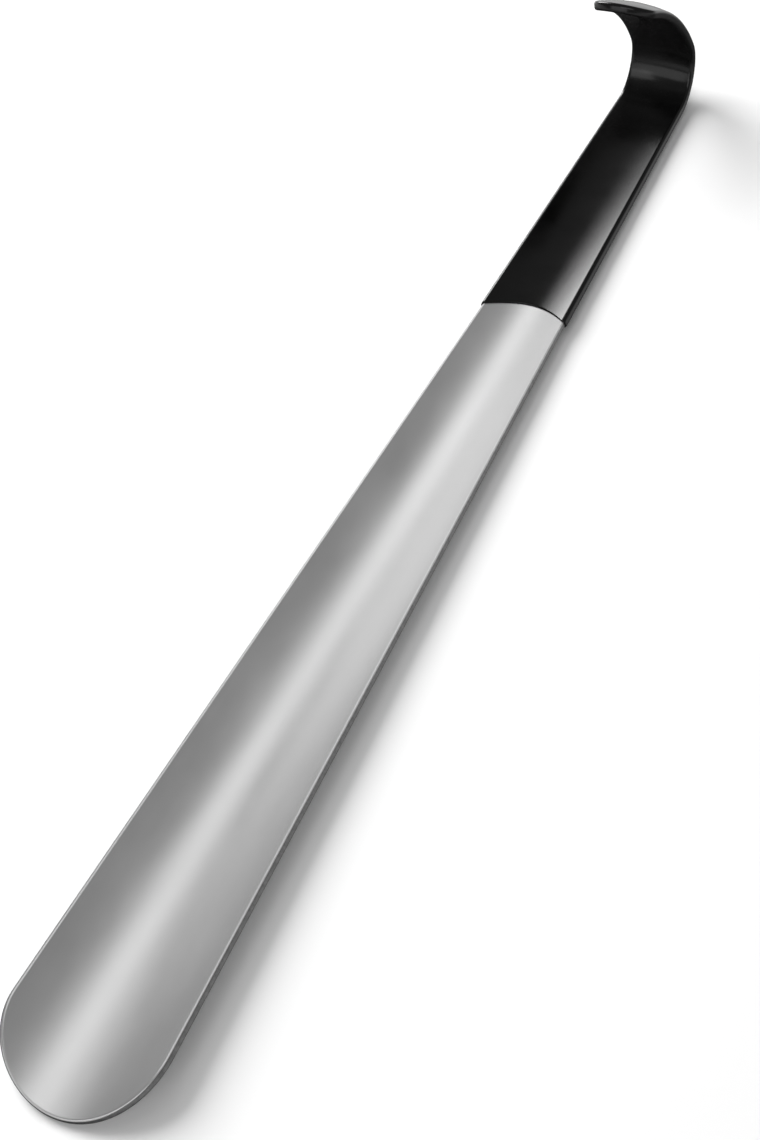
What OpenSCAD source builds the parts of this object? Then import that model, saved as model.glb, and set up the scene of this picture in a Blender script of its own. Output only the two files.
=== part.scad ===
// Long-handled shoehorn: one formed steel strip and the soft sleeve over its
// upper part. It lies on its back: +Y runs from the blade's rounded tip to the
// hook, +Z is the side that the blade is hollow on, and X is its width.
// The origin is the middle of the footprint, on the surface that it lies on.

/* [Strip] */
// Length from the blade's tip to the back of the hook
overall_len = 420; // [380:5:520]
// Thickness of the steel
steel_t = 2.0; // [1.2:0.1:2.5]
// Width of the blade, at the tip end
blade_w = 45; // [38:0.5:50]
// Width where the sleeve starts
shank_w = 27.5; // [24:0.5:32]
// Width at the hook's end
hook_w = 19; // [16:0.5:24]
// Depth of the blade's hollow, at the tip end
blade_dish = 7.8; // [4:0.2:9]
// Depth of the hollow where the sleeve starts
shank_dish = 2.9; // [2:0.1:4.5]
// Depth of the hollow along the hook
hook_dish = 1.2; // [0:0.1:3]
// Length of the rounding at the blade's tip
tip_len = 22; // [16:1:32]
// Radius of the rounding on the strip's edges
edge_r = 0.45; // [0.2:0.05:0.6]

/* [Hook] */
// Radius of the tight bend, on its inner face
bend_r = 13; // [10:0.5:20]
// Angle of the tight bend
bend_angle = 121; // [90:1:130]
// Length of the tongue past the tight bend
tongue_len = 60; // [20:1:70]
// Angle that the tongue curls on by
tongue_curl = 34; // [0:1:40]
// Length of the rounding at the strip's end
end_round = 8; // [5:0.5:12]

/* [Sleeve] */
// Distance from the blade's tip to the sleeve's mouth, at its two sides
sleeve_start = 287; // [240:1:320]
// Wall thickness of the sleeve
sleeve_wall = 0.5; // [0.4:0.05:1]
// Rise of the mouth's arch, in the middle of the strip
mouth_arch = 6.5; // [0:0.5:10]

/* [Hidden] */
// gap between the steel and the sleeve's inner wall, so that facets never cross
skin_gap = 0.04;
// length over which the arch of the mouth dies out up the sleeve
arch_run = 30;
columns = 10;      // facets across each face
corner_steps = 2;  // facets round each quarter of an edge
straight_len = overall_len - bend_r - steel_t - sleeve_wall;
bend_len = bend_r * bend_angle * PI / 180;
strip_len = straight_len + bend_len + tongue_len;
tongue_r = tongue_curl > 0 ? tongue_len / (tongue_curl * PI / 180) : 1e6;

// ---- the strip's centre line, by distance s from the tip --------------------
// Angle that the strip has turned through at s
function turn(s) =
    s <= straight_len ? 0 :
    s <= straight_len + bend_len ? (s - straight_len) / bend_r * 180 / PI :
    bend_angle + (s - straight_len - bend_len) / tongue_r * 180 / PI;

// [y, z] of the hollow face's centre line at s
function centre(s) =
    s <= straight_len ? [s, 0] :
    s <= straight_len + bend_len ?
        [straight_len + bend_r * sin(turn(s)), bend_r * (1 - cos(turn(s)))] :
        centre(straight_len + bend_len)
        + tongue_r * [sin(turn(s)) - sin(bend_angle), cos(bend_angle) - cos(turn(s))];

// Width and depth of hollow at s, before the ends are rounded
function mix(a, b, k) = a + (b - a) * max(0, min(1, k));
function width(s) = s < sleeve_start
    ? mix(blade_w, shank_w, s / sleeve_start)
    : mix(shank_w, hook_w, (s - sleeve_start) / (strip_len - sleeve_start));
function dish(s) = s < sleeve_start
    ? mix(blade_dish, shank_dish, s / sleeve_start)
    : mix(shank_dish, hook_dish, (s - sleeve_start) / (straight_len - sleeve_start));

// A point of the formed strip: x across it, d into the steel from the hollow face
function formed(s, x, d) =
    let (c = 4 * dish(s) / pow(width(s), 2),
         slope = atan(2 * c * x),
         up = c * x * x - d * cos(slope),
         at = centre(s), t = turn(s))
    [x + d * sin(slope), at[0] - up * sin(t), at[1] + up * cos(t)];

// ---- cross-sections ---------------------------------------------------------
// Closed loop round the strip at s, where it is 2 * half wide, grown by g
function section(s, half, g, arch = 0) =
    let (r = min(edge_r, half / 2), flat = half - r, q = 90 / corner_steps,
         rise = function (x) arch * (1 - pow(x / half, 2)),
         at = function (x, d) formed(s + rise(x), x * width(s + rise(x)) / width(s), d))
    [for (i = [0:columns]) at(flat * (2 * i / columns - 1), -g),
     for (i = [1:corner_steps]) at(flat + (r + g) * sin(i * q), r - (r + g) * cos(i * q)),
     for (i = [0:corner_steps]) at(flat + (r + g) * cos(i * q), steel_t - r + (r + g) * sin(i * q)),
     for (i = [columns - 1:-1:0]) at(flat * (2 * i / columns - 1), steel_t + g),
     for (i = [1:corner_steps]) at(-flat - (r + g) * sin(i * q), steel_t - r + (r + g) * cos(i * q)),
     for (i = [0:corner_steps - 1]) at(-flat - (r + g) * cos(i * q), r - (r + g) * sin(i * q))];

// A skin over a row of loops that have the same number of points
module skin(loops) {
    n = len(loops[0]);
    m = len(loops);
    polyhedron(
        points = [for (l = loops) each l],
        faces = [
            [for (j = [0:n - 1]) j],
            for (i = [0:m - 2], j = [0:n - 1]) let (a = i * n + j, b = i * n + (j + 1) % n)
                each [[a, a + n, b], [b, a + n, b + n]],
            [for (j = [n - 1:-1:0]) (m - 1) * n + j]
        ]
    );
}

// Loops round the bend, the tongue and the rounded end, grown by g
function hook_loops(g) = [
    for (i = [1:12]) let (s = straight_len + bend_len * i / 12) section(s, width(s) / 2, g),
    for (i = [1:6]) let (s = strip_len - end_round - (tongue_len - end_round) * (1 - i / 6))
        section(s, width(s) / 2, g),
    for (a = [15, 30, 45, 58, 70, 82]) let (s = strip_len - end_round + (end_round + g) * sin(a))
        section(s, width(s) / 2 * cos(a), g)
];

// ---- sub-parts --------------------------------------------------------------
// The stamped steel strip: blade, shank and the core of the hook
module horn_blade() {
    tip = [for (a = [7, each [15:7.5:90]]) let (s = tip_len * (1 - cos(a)))
        section(s, width(s) / 2 * sin(a), 0)];
    shank = [for (s = [90, 160, 225, sleeve_start, 345, straight_len])
        section(s, width(s) / 2, 0)];
    color("lightsteelblue") skin(concat(tip, shank, hook_loops(0)));
}

// The soft sleeve: open at its arched mouth, closed over the strip's end
module grip_sleeve() {
    function tube(g) = concat(
        [for (k = [0, 4, 10, 18, 30]) let (s = sleeve_start + k)
            section(s, width(s) / 2, g, mouth_arch * (1 - k / arch_run))],
        [for (s = [345, straight_len]) section(s, width(s) / 2, g)],
        hook_loops(g));
    function reversed(list) = [for (i = [len(list) - 1:-1:0]) list[i]];
    color("dimgray") skin(concat(reversed(tube(skin_gap)), tube(sleeve_wall)));
}

translate([0, -overall_len / 2, steel_t + sleeve_wall]) {
    horn_blade();
    grip_sleeve();
}
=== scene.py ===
"""The looks of the long shoehorn: satin steel horn, glossy sleeve, floor, lights and camera.

Both pieces are built the way the real ones are made: a flat blank, cut to its
outline, is formed into the dished, hooked strip. A place on the blank is (s, x),
s along the strip from the blade's tip and x across it, and d is the depth below
the hollow face. Everything is in metres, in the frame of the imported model.
"""

import math

import bpy
import numpy as np
from mathutils import Matrix, Vector


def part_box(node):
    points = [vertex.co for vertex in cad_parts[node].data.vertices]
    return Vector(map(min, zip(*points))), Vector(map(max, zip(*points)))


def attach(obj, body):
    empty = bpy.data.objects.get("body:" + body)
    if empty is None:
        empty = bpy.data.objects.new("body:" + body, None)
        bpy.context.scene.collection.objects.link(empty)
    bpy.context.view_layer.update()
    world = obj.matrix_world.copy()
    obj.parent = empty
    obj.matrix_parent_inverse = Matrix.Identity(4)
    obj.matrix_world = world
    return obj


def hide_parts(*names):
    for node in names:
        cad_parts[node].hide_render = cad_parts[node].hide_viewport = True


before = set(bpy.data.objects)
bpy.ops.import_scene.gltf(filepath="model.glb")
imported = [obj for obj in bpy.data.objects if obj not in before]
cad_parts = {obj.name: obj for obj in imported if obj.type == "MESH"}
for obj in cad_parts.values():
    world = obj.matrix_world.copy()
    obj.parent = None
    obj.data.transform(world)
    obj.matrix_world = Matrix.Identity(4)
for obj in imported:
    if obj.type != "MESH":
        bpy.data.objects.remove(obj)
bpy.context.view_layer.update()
MM = 0.001

# ---- sizes of the formed strip --------------------------------------------------
horn_low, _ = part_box("horn_blade")
sleeve_low, sleeve_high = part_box("grip_sleeve")
TIP_Y = horn_low[1]                         # the blade's tip
SLEEVE_WALL = horn_low[2] - sleeve_low[2]   # the sleeve hangs lower than the steel by its wall
STEEL_T = 2.0 * MM
CROWN_Z = horn_low[2] + STEEL_T             # the hollow face's centre line
BLADE_W, SHANK_W, HOOK_W = 45.0 * MM, 27.5 * MM, 19.0 * MM
BLADE_DISH, SHANK_DISH, HOOK_DISH = 7.8 * MM, 2.9 * MM, 1.2 * MM
TIP_LEN = 22.0 * MM
EDGE_R = 0.55 * MM                          # bevel along the steel's edges
BEND_R, BEND_ANGLE = 13.0 * MM, math.radians(121)
TONGUE_LEN, TONGUE_CURL = 60.0 * MM, math.radians(34)
END_ROUND = 8.0 * MM                        # length of the rounding at the hook's end
SLEEVE_START, MOUTH_ARCH = 287.0 * MM, 6.5 * MM
SLEEVE_EDGE_R = 1.0 * MM
SKIN_GAP = 0.04 * MM                        # between the steel and the sleeve's inner wall
LIP_R = 0.4 * MM                            # rounding of the sleeve's mouth
BEVEL_STEPS, WALL_STEPS = 5, 2              # facets of the rim: each bevel, and the wall between
# lengths over which the mesh rows bend to the outline of an end
TIP_ZONE, END_ZONE, MOUTH_ZONE = 38.0 * MM, 16.0 * MM, 10.0 * MM

STRAIGHT_LEN = (sleeve_high[1] - TIP_Y) - BEND_R - STEEL_T - SLEEVE_WALL
BEND_LEN = BEND_R * BEND_ANGLE
STRIP_LEN = STRAIGHT_LEN + BEND_LEN + TONGUE_LEN
TONGUE_R = TONGUE_LEN / TONGUE_CURL


# ---- from the flat blank to the formed strip ------------------------------------
def width(s):
    up = (s - SLEEVE_START) / (STRIP_LEN - SLEEVE_START)
    down = np.clip(s / SLEEVE_START, 0, 1)
    return np.where(s < SLEEVE_START, BLADE_W + (SHANK_W - BLADE_W) * down,
                    SHANK_W + (HOOK_W - SHANK_W) * np.clip(up, 0, 1))


def dish(s):
    up = np.clip((s - SLEEVE_START) / (STRAIGHT_LEN - SLEEVE_START), 0, 1)
    down = np.clip(s / SLEEVE_START, 0, 1)
    return np.where(s < SLEEVE_START, BLADE_DISH + (SHANK_DISH - BLADE_DISH) * down,
                    SHANK_DISH + (HOOK_DISH - SHANK_DISH) * up)


def centre_line(s):
    """Angle, y and z of the hollow face's centre line at s."""
    bend = np.clip(s - STRAIGHT_LEN, 0, BEND_LEN) / BEND_R
    curl = np.maximum(s - STRAIGHT_LEN - BEND_LEN, 0) / TONGUE_R
    y = np.minimum(s, STRAIGHT_LEN) + BEND_R * np.sin(bend)
    z = BEND_R * (1 - np.cos(bend))
    turned = bend + curl
    y = y + TONGUE_R * (np.sin(turned) - np.sin(bend))
    z = z + TONGUE_R * (np.cos(bend) - np.cos(turned))
    return turned, y, z


def formed(s, x, d):
    """Points of the formed strip for places (s, x, d) of the blank."""
    c = 4 * dish(s) / width(s) ** 2
    slope = np.arctan(2 * c * x)
    lift = c * x * x - d * np.cos(slope)
    turned, y, z = centre_line(s)
    return np.stack([x + d * np.sin(slope), TIP_Y + y - lift * np.sin(turned),
                     CROWN_Z + z + lift * np.cos(turned)], axis=-1)


def spaced(start, stop, step):
    return np.linspace(start, stop, max(2, int(round((stop - start) / step)) + 1))


def blank_grid(start, end, inset, rows, columns, start_zone, end_zone):
    """Rows of (s, x) that fill an outline, with its edge rows on the outline itself.

    start(u) and end(u) give s where the column at u, -1 to 1 across, begins and
    ends. rows are values of s; within a zone at either end they bend to the outline.
    """
    u = np.sin(np.linspace(-math.pi / 2, math.pi / 2, columns))
    first, last = start(u), end(u)
    low, high = rows[0], rows[-1]
    grid = []
    for row in rows:
        if row < low + start_zone:
            s = first + (low + start_zone - first) * (row - low) / start_zone
        elif row > high - end_zone:
            s = last - (last - high + end_zone) * (high - row) / end_zone
        else:
            s = np.full(columns, row)
        grid.append(np.stack([s, u * (width(s) / 2 + inset)], axis=-1))
    return np.array(grid)


def rounded_end(inset):
    """End of the strip, a half ellipse."""
    return lambda u: STRIP_LEN - END_ROUND + (END_ROUND + inset) * np.sqrt(np.clip(1 - u ** 2, 0, 1))


def rounded_tip(inset):
    """Tip of the blade, a half ellipse."""
    return lambda u: -inset + (TIP_LEN + inset) * (1 - np.sqrt(np.clip(1 - u ** 2, 0, 1)))


def mouth(u):
    return SLEEVE_START + MOUTH_ARCH * (1 - u ** 2)


def rim_profile(r, top, bottom):
    """(reach out, depth, length along the rim) from the hollow face round to the back."""
    quarter = np.linspace(0, math.pi / 2, BEVEL_STEPS + 1)
    points = [(r * math.sin(a), top + r * (1 - math.cos(a))) for a in quarter]
    flat = bottom - top - 2 * r
    points += [(r, top + r + flat * k / WALL_STEPS) for k in range(1, WALL_STEPS)]
    points += [(r * math.cos(a), bottom - r + r * math.sin(a)) for a in quarter]
    lengths = np.cumsum([0] + [math.dist(a, b) for a, b in zip(points, points[1:])])
    return [(reach, depth, along) for (reach, depth), along in zip(points, lengths)]


class Skin:
    """Collects vertices and faces, and the place on the blank that each corner has."""

    def __init__(self):
        self.points, self.faces, self.places, self.slots = [], [], [], []
        self.count = 0

    def add(self, s, x, d):
        """Adds formed points; returns their numbers and their places, in the same shape."""
        s, x, d = np.broadcast_arrays(s, x, d)
        self.points.append(formed(s, x, d).reshape(-1, 3))
        numbers = np.arange(self.count, self.count + s.size).reshape(s.shape)
        self.count += s.size
        return numbers, np.stack([s, x], axis=-1)

    def stitch(self, rows, slot=0, flip=False):
        """Quads over a grid given as (numbers, places)."""
        numbers, places = rows
        slot = np.broadcast_to(slot, numbers.shape[0] - 1)
        for j in range(numbers.shape[0] - 1):
            for i in range(numbers.shape[1] - 1):
                loop = [(j, i), (j, i + 1), (j + 1, i + 1), (j + 1, i)]
                face = [numbers[k] for k in loop]
                if len(set(face)) < 4:
                    continue
                if flip:
                    loop, face = loop[::-1], face[::-1]
                self.faces.append([int(n) for n in face])
                self.places.append([places[k] for k in loop])
                self.slots.append(int(slot[j]))

    def mesh(self, name):
        mesh = bpy.data.meshes.new(name)
        mesh.from_pydata(np.concatenate(self.points).tolist(), [], self.faces)
        layer = mesh.uv_layers.new(name="strip")
        flat = [tuple(place / (100 * MM)) for face in self.places for place in face]
        layer.data.foreach_set("uv", np.array(flat, dtype=np.float32).ravel())
        mesh.polygons.foreach_set("material_index", self.slots)
        mesh.polygons.foreach_set("use_smooth", [True] * len(self.faces))
        mesh.validate()
        return mesh


def boundary(grid, closed):
    """Outline of a grid in order, as row and column numbers."""
    rows, columns = grid.shape[:2]
    path = [(j, 0) for j in range(rows)]
    path += [(rows - 1, i) for i in range(1, columns)]
    path += [(j, columns - 1) for j in range(rows - 2, -1, -1)]
    if closed:
        path += [(0, i) for i in range(columns - 2, 0, -1)]
    return path


def outward(path_places, closed):
    """Unit normals of the outline on the blank, pointing out of it."""
    p = path_places
    if closed:
        along = np.roll(p, -1, axis=0) - np.roll(p, 1, axis=0)
    else:
        along = np.gradient(p, axis=0)
    out = np.stack([along[:, 1], -along[:, 0]], axis=-1)
    return out / np.linalg.norm(out, axis=1)[:, None]


def clad(skin, grid, r, top, bottom, closed, rim_slots=0, inward=False):
    """Hollow face, back and rim over a grid. Returns the open end's loop, if it has one."""
    s, x = grid[..., 0], grid[..., 1]
    front, back = skin.add(s, x, top), skin.add(s, x, bottom)
    path = boundary(grid, closed)
    js, iis = np.array(path).T
    places = grid[js, iis]
    out = outward(places, closed)
    profile = rim_profile(r, top, bottom)
    numbers, where = [front[0][js, iis]], [places]
    for reach, depth, along in profile[1:-1]:
        spot = places + out * reach
        n, _ = skin.add(spot[:, 0], spot[:, 1], depth)
        numbers.append(n)
        where.append(places + out * along)
    numbers.append(back[0][js, iis])
    where.append(places + out * profile[-1][2])
    numbers, where = np.array(numbers), np.array(where)
    if closed:
        numbers = np.concatenate([numbers, numbers[:, :1]], axis=1)
        where = np.concatenate([where, where[:, :1]], axis=1)
    skin.stitch(front, flip=inward)
    skin.stitch(back, flip=not inward)
    skin.stitch((numbers, where), slot=rim_slots, flip=inward)
    if closed:
        return None
    loop = np.concatenate([front[0][0], numbers[1:-1, -1], back[0][0][::-1], numbers[1:-1, 0][::-1]])
    spots = np.concatenate([front[1][0], where[1:-1, -1], back[1][0][::-1], where[1:-1, 0][::-1]])
    return np.append(loop, loop[0]), np.concatenate([spots, spots[:1]])


# ---- the two pieces ---------------------------------------------------------------
def strip_rows(low, high, zone):
    """Values of s from low to high: dense at both ends and round the bend, sparse elsewhere."""
    bend_end = STRAIGHT_LEN + BEND_LEN
    easing = [MM * k for k in (0, .12, .35, .7, 1.2, 1.9, 2.8, 4, 5.6, 7.6, 10)]
    past_easing = 13 * MM
    rows = [low + k for k in easing]
    rows += list(spaced(low + past_easing, low + zone, 3.5 * MM)) if zone > past_easing else []
    rows += list(spaced(rows[-1] + 6 * MM, STRAIGHT_LEN - 6 * MM, 12 * MM))
    rows += list(spaced(STRAIGHT_LEN - 2 * MM, bend_end + 2 * MM, 0.8 * MM))
    rows += list(spaced(bend_end + 4 * MM, high - 18 * MM, 3 * MM))
    rows += list(spaced(high - 16 * MM, high - 11.5 * MM, 1.5 * MM))
    rows += [high - k for k in reversed(easing)]
    return np.array(rows)


def make_object(name, mesh, materials):
    piece = bpy.data.objects.new(name, mesh)
    bpy.context.scene.collection.objects.link(piece)
    for material in materials:
        mesh.materials.append(material)
    return piece


def build_horn(materials):
    inset = -EDGE_R
    rows = strip_rows(EDGE_R, STRIP_LEN + inset, TIP_ZONE)
    grid = blank_grid(rounded_tip(inset), rounded_end(inset), inset, rows, columns=61,
                      start_zone=TIP_ZONE, end_zone=END_ZONE)
    skin = Skin()
    polished = BEVEL_STEPS - 1      # the bevel is polished with the face; the rest is the cut edge, whose darkened colour paints the rim's shade
    slots = [0] * polished + [1] * (2 * BEVEL_STEPS + WALL_STEPS - polished)
    clad(skin, grid, EDGE_R, 0.0, STEEL_T, closed=True, rim_slots=slots)
    return make_object("horn_steel", skin.mesh("horn_steel"), materials)


def build_sleeve(materials):
    inset = SLEEVE_WALL - SLEEVE_EDGE_R
    rows = strip_rows(SLEEVE_START, STRIP_LEN + inset, MOUTH_ZONE)
    grid = blank_grid(lambda u: mouth(u) + LIP_R, rounded_end(inset), inset, rows, columns=41,
                      start_zone=MOUTH_ZONE, end_zone=END_ZONE)
    skin = Skin()
    outer = clad(skin, grid, SLEEVE_EDGE_R, -SLEEVE_WALL, STEEL_T + SLEEVE_WALL, closed=False)
    inner = clad(skin, grid, SLEEVE_EDGE_R - SLEEVE_WALL + SKIN_GAP, -SKIN_GAP,
                 STEEL_T + SKIN_GAP, closed=False, inward=True)
    # the rounded lip of the mouth: loops in mm short of the mouth line and below the skin
    edge = grid[0]
    ring = [outer]
    for short, drop in ((0.16, 0.04), (0.04, 0.16), (0.0, 0.34)):
        r = SLEEVE_EDGE_R - drop * MM
        top, bottom = -SLEEVE_WALL + drop * MM, STEEL_T + SLEEVE_WALL - drop * MM
        profile = rim_profile(r, top, bottom)[1:-1]
        reach = np.array([p[0] for p in profile])
        depth = np.array([p[1] for p in profile])
        s = edge[:, 0] - LIP_R + short * MM
        side = np.full(len(profile), s[-1])
        loop_s = np.concatenate([s, side, s[::-1], side])
        loop_x = np.concatenate([edge[:, 1], edge[-1, 1] + reach,
                                 edge[::-1, 1], edge[0, 1] - reach[::-1]])
        loop_d = np.concatenate([np.full(len(s), top), depth,
                                 np.full(len(s), bottom), depth[::-1]])
        n, place = skin.add(loop_s, loop_x, loop_d)
        ring.append((np.append(n, n[0]), np.concatenate([place, place[:1]])))
    ring.append(inner)
    skin.stitch((np.array([r[0] for r in ring]), np.array([r[1] for r in ring])), flip=True)
    return make_object("sleeve_skin", skin.mesh("sleeve_skin"), materials)


# ---- materials ---------------------------------------------------------------------
def new_material(name):
    material = bpy.data.materials.new(name)
    material.use_nodes = True
    nodes, links = material.node_tree.nodes, material.node_tree.links
    shader = nodes["Principled BSDF"]
    return material, nodes, links, shader


def node(nodes, kind, **settings):
    made = nodes.new(kind)
    for key, value in settings.items():
        if key in made.inputs:
            made.inputs[key].default_value = value
        else:
            setattr(made, key, value)
    return made


def strip_noise(nodes, links, stretch, scale, detail=3.0, roughness=0.6):
    """Noise in the strip's own directions, stretched along its length."""
    uv = node(nodes, "ShaderNodeUVMap", uv_map="strip")
    mapping = node(nodes, "ShaderNodeMapping")
    mapping.inputs["Scale"].default_value = (1.0, stretch, 1.0)
    noise = node(nodes, "ShaderNodeTexNoise", Scale=scale, Detail=detail, Roughness=roughness)
    links.new(uv.outputs["UV"], mapping.inputs["Vector"])
    links.new(mapping.outputs["Vector"], noise.inputs["Vector"])
    return noise.outputs["Fac"]


def ramp(nodes, links, source, stops):
    made = node(nodes, "ShaderNodeValToRGB")
    elements = made.color_ramp.elements
    while len(elements) < len(stops):
        elements.new(0.5)
    for element, (position, colour) in zip(elements, stops):
        element.position = position
        element.color = (*colour, 1.0)
    links.new(source, made.inputs["Fac"])
    return made.outputs["Color"]


def grey(v):
    return (v, v, v)


def satin_steel():
    """Stainless steel, polished along its length to a satin that still shows fine grain."""
    material, nodes, links, shader = new_material("satin_steel")
    grain = strip_noise(nodes, links, stretch=60.0, scale=9.0, detail=6.0, roughness=0.7)
    clouds = strip_noise(nodes, links, stretch=2.5, scale=2.2, detail=3.0)
    colour = ramp(nodes, links, clouds, ((0.3, grey(0.70)), (0.7, grey(0.76))))
    links.new(colour, shader.inputs["Base Color"])
    sheen = node(nodes, "ShaderNodeMix", data_type="FLOAT")
    sheen.inputs["Factor"].default_value = 0.5
    links.new(grain, sheen.inputs[2])
    links.new(clouds, sheen.inputs[3])
    rough = node(nodes, "ShaderNodeMapRange")
    for key, value in (("From Min", 0.3), ("From Max", 0.7), ("To Min", 0.27), ("To Max", 0.37)):
        rough.inputs[key].default_value = value
    links.new(sheen.outputs[0], rough.inputs["Value"])
    links.new(rough.outputs["Result"], shader.inputs["Roughness"])
    bump = node(nodes, "ShaderNodeBump", Strength=0.12, Distance=0.02 * MM)
    links.new(grain, bump.inputs["Height"])
    links.new(bump.outputs["Normal"], shader.inputs["Normal"])
    tangent = node(nodes, "ShaderNodeTangent", direction_type="UV_MAP", uv_map="strip")
    links.new(tangent.outputs["Tangent"], shader.inputs["Tangent"])
    shader.inputs["Metallic"].default_value = 1.0
    shader.inputs["Anisotropic"].default_value = 0.55
    shader.inputs["Anisotropic Rotation"].default_value = 0.25
    return material


def cut_edge_painted_shade():
    """The strip's sheared edge: duller than its faces, and given a darker colour that paints the
    shade along the rim.
    """
    material, nodes, links, shader = new_material("cut_edge_painted_shade")
    tear = strip_noise(nodes, links, stretch=1.0, scale=60.0, detail=5.0, roughness=0.7)
    # the grey is set dark to paint the shade of the rim band; the noise is the edge's torn grain
    colour = ramp(nodes, links, tear, ((0.3, grey(0.20)), (0.7, grey(0.32))))
    links.new(colour, shader.inputs["Base Color"])
    bump = node(nodes, "ShaderNodeBump", Strength=0.4, Distance=0.05 * MM)
    links.new(tear, bump.inputs["Height"])
    links.new(bump.outputs["Normal"], shader.inputs["Normal"])
    shader.inputs["Metallic"].default_value = 1.0
    shader.inputs["Roughness"].default_value = 0.5
    return material


def black_vinyl():
    """Glossy dipped vinyl with a faint orange peel and a little handling haze."""
    material, nodes, links, shader = new_material("black_vinyl")
    peel = strip_noise(nodes, links, stretch=1.0, scale=28.0, detail=2.0)
    haze = strip_noise(nodes, links, stretch=0.8, scale=5.0, detail=5.0)
    colour = ramp(nodes, links, haze, ((0.35, grey(0.004)), (0.75, grey(0.009))))
    links.new(colour, shader.inputs["Base Color"])
    rough = node(nodes, "ShaderNodeMapRange")
    for key, value in (("From Min", 0.35), ("From Max", 0.7), ("To Min", 0.14), ("To Max", 0.24)):
        rough.inputs[key].default_value = value
    links.new(haze, rough.inputs["Value"])
    links.new(rough.outputs["Result"], shader.inputs["Roughness"])
    bump = node(nodes, "ShaderNodeBump", Strength=0.25, Distance=0.03 * MM)
    links.new(peel, bump.inputs["Height"])
    links.new(bump.outputs["Normal"], shader.inputs["Normal"])
    shader.inputs["IOR"].default_value = 1.47
    shader.inputs["Specular IOR Level"].default_value = 0.3
    return material


def matte_floor():
    material, _, _, shader = new_material("studio_floor")
    shader.inputs["Base Color"].default_value = (*grey(0.86), 1.0)
    shader.inputs["Roughness"].default_value = 0.9
    shader.inputs["Specular IOR Level"].default_value = 0.1
    return material


# ---- studio -------------------------------------------------------------------------
def build_floor():
    half = 6.0
    mesh = bpy.data.meshes.new("studio_floor")
    corners = [(-half, -half, 0), (half, -half, 0), (half, half, 0), (-half, half, 0)]
    mesh.from_pydata(corners, [], [(0, 1, 2, 3)])
    floor = make_object("studio_floor", mesh, [matte_floor()])
    floor.visible_glossy = False    # in reflections the world's lower half stands in for it
    return floor


def softbox(name, place, size, radiance, only, facing=(0.0, 0.0, 0.02), turn=0.0):
    """A rectangular soft light at a place, facing a point and turned about its own axis.

    It lights only the objects listed, the way a flag on a stand shades the others.
    """
    light = bpy.data.lights.new(name, "AREA")
    light.shape = "RECTANGLE"
    light.size, light.size_y = size
    light.energy = radiance * size[0] * size[1] * math.pi
    lamp = bpy.data.objects.new(name, light)
    bpy.context.scene.collection.objects.link(lamp)
    away = (Vector(place) - Vector(facing)).normalized()
    turned = away.to_track_quat("Z", "Y").to_matrix() @ Matrix.Rotation(math.radians(turn), 3, "Z")
    lamp.matrix_world = Matrix.Translation(place) @ turned.to_4x4()
    lit = bpy.data.collections.new(name + "_lit")
    for piece in only:
        lit.objects.link(piece)
    lamp.light_linking.receiver_collection = lit


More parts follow.
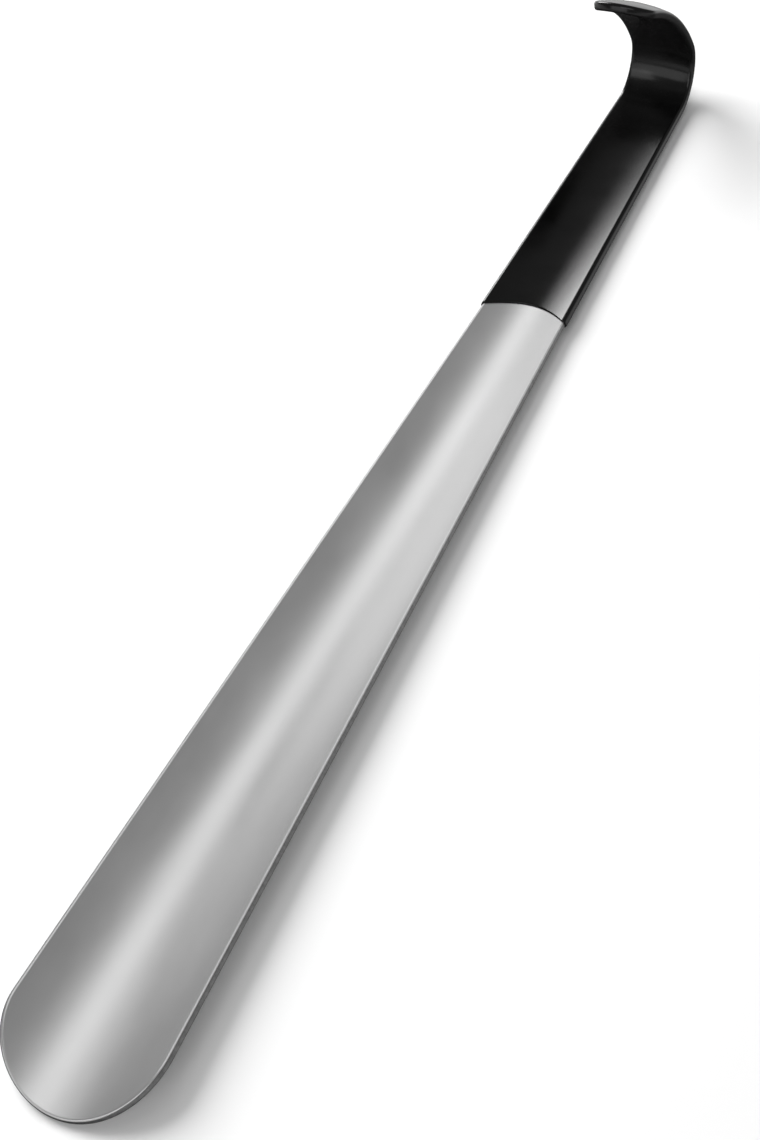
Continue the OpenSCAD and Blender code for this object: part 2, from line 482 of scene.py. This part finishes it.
def light_studio(horn, sleeve, floor):
    world = bpy.data.worlds.new("studio")
    bpy.context.scene.world = world
    world.use_nodes = True
    nodes, links = world.node_tree.nodes, world.node_tree.links
    # a dim room over a bright table that falls off to dark straight below
    direction = node(nodes, "ShaderNodeTexCoord")
    height = node(nodes, "ShaderNodeSeparateXYZ")
    links.new(direction.outputs["Generated"], height.inputs["Vector"])
    up = node(nodes, "ShaderNodeMath", operation="MULTIPLY_ADD")
    up.inputs[1].default_value = up.inputs[2].default_value = 0.5
    links.new(height.outputs["Z"], up.inputs[0])
    room = ramp(nodes, links, up.outputs[0], (
        (0.10, grey(0.04)), (0.24, grey(0.20)),                         # straight below
        (0.34, grey(0.90)), (0.48, grey(0.80)), (0.52, grey(0.25))))    # table, horizon, room
    links.new(room, nodes["Background"].inputs["Color"])
    # the long overhead softbox that the blade's hollow mirrors as its bright band
    softbox("overhead_strip", (-0.49, 0.80, 1.6), (0.62, 2.4), 1.05,
            facing=(-0.49, 0.80, 0.0), turn=22.0, only=[horn, floor])
    # panels behind and on the left, which the band falls off into
    softbox("back_panel", (-1.15, 1.5, 0.95), (1.8, 1.6), 0.40, only=[horn, floor])
    softbox("left_panel", (-1.7, 1.05, 0.8), (1.3, 1.2), 0.30, only=[horn, floor])
    softbox("overhead_side", (-0.95, 0.15, 1.5), (0.55, 0.8), 0.5, only=[horn, floor])
    # low softboxes for the light lines along the rim's bevel, the sleeve's lip and the bend
    softbox("front_bevel_light", (-0.55, -1.3, 0.75), (1.2, 0.25), 1.9, only=[horn])
    softbox("front_lip_light", (-0.4, -1.4, 0.6), (1.6, 0.9), 1.4, only=[sleeve])
    softbox("right_bevel_light", (1.1, 0.95, 0.5), (0.8, 0.4), 1.2, only=[horn])
    # lights that whiten the floor and throw the soft shadow, with a weaker fill for the steel
    softbox("left_softbox", (-1.1, 0.30, 0.9), (1.0, 1.0), 9.5, only=[floor])
    softbox("front_fill", (0.4, -1.4, 1.4), (1.6, 1.0), 1.9, only=[sleeve, floor])
    softbox("front_fill_steel", (0.4, -1.4, 1.4), (1.6, 1.0), 0.7, only=[horn])
    # tall panels, side by side and brighter to the left, along the sleeve's gloss:
    # bearing from straight behind and width, in degrees, and radiance
    gloss_panels = ((31.0, 4.0, 0.7), (35.0, 4.0, 2.3), (39.0, 4.0, 5.6), (43.0, 4.0, 10.0),
                    (48.5, 7.0, 16.0))
    reach, rise, tall = 3.0, 1.15, 1.8
    for number, (bearing, wide, radiance) in enumerate(gloss_panels):
        angle = math.radians(bearing)
        place = (-reach * math.sin(angle), reach * math.cos(angle), rise)
        softbox(f"gloss_panel_{number}", place, (reach * math.radians(wide), tall), radiance,
                facing=(0.0, 0.1, 0.02), only=[sleeve])


def place_camera():
    """Camera at the viewing angle: from the right of the tip, half way up, slightly rolled."""
    azimuth, elevation, roll = (math.radians(a) for a in (32.87, 50.41, -9.32))
    aim = Vector((1.70 * MM, TIP_Y + 176.22 * MM, CROWN_Z))
    distance = 501.53 * MM
    focal_heights = 1.52894      # focal length over the picture's height
    right = Vector((math.cos(azimuth), math.sin(azimuth), 0))
    back = Vector((math.sin(azimuth) * math.cos(elevation),
                   -math.cos(azimuth) * math.cos(elevation), math.sin(elevation)))
    up = back.cross(right)
    turned_right = math.cos(roll) * right + math.sin(roll) * up
    turned_up = -math.sin(roll) * right + math.cos(roll) * up
    data = bpy.data.cameras.new("camera")
    data.sensor_fit = "VERTICAL"
    data.sensor_height = 36.0
    data.lens = focal_heights * data.sensor_height
    camera = bpy.data.objects.new("camera", data)
    bpy.context.scene.collection.objects.link(camera)
    axes = Matrix((turned_right, turned_up, back)).transposed().to_4x4()
    camera.matrix_world = Matrix.Translation(aim + back * distance) @ axes
    bpy.context.scene.camera = camera


# ---- scene ----------------------------------------------------------------------------
horn = build_horn([satin_steel(), cut_edge_painted_shade()])
sleeve = build_sleeve([black_vinyl()])
for piece, cad_node, slot in ((horn, "horn_blade", "steel"),
                              (sleeve, "grip_sleeve", "sleeve_vinyl")):
    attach(piece, "root")
    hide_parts(cad_node)

light_studio(horn, sleeve, build_floor())
place_camera()
bpy.context.scene.view_settings.view_transform = "Standard"
